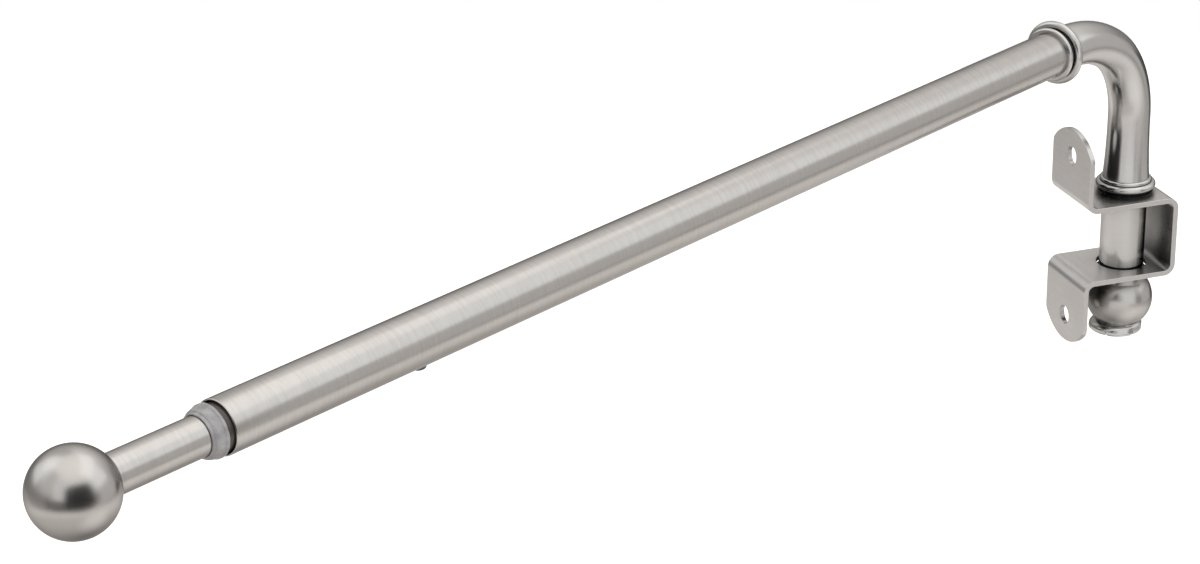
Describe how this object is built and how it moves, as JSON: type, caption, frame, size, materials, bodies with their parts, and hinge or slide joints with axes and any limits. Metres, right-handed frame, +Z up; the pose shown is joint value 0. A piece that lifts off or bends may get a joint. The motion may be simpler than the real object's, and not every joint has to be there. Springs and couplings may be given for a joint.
{
  "type": "swing arm curtain rod",
  "caption": "Telescoping curtain rod on a bent wall bracket: a tube with a ball finial swings about an upright pivot under a ringed elbow.",
  "frame": {"origin": "halfway between the two wall screw holes, on the wall plane", "axes": "+Y into the wall, -Y into the room, +Z up along the wall, +X along the wall"},
  "size_m": [0.2723, 0.4511, 0.1373],
  "materials": {
    "bracket_nickel": "satin plated sheet, lightly brushed",
    "elbow_nickel": "satin plated, bright on the rings",
    "pivot_nickel": "satin plated, brushed round the tube",
    "ball_nickel": "satin plated, brushed round the ball",
    "tube_nickel": "satin plated, brushed along the tube",
    "dark_screw": "dark plated screw",
    "clear_plastic": "cloudy translucent moulded plastic",
    "white_plastic": "plain moulded plastic"
  },
  "bodies": {
    "bracket": {"wall_bracket": "bracket_nickel"},
    "arm": {"elbow": "elbow_nickel", "pivot_tube": "pivot_nickel", "pivot_ball": "ball_nickel", "outer_tube": "tube_nickel", "stop_screw": "dark_screw", "glide_sleeve": "clear_plastic"},
    "extension": {"inner_tube": "tube_nickel", "inner_guide": "white_plastic", "finial_ball": "ball_nickel"}
  },
  "joints": [
    {"name": "arm_swing", "type": "hinge", "parent": "bracket", "child": "arm", "pos_m": [0, -0.023, 0], "axis": [0, 0, 1], "continuous": true},
    {"name": "rod_slide", "type": "slide", "parent": "arm", "child": "extension", "axis": [-0.5, 0.866, 0], "range_m": [-0.0291, 0.2722]}
  ]
}
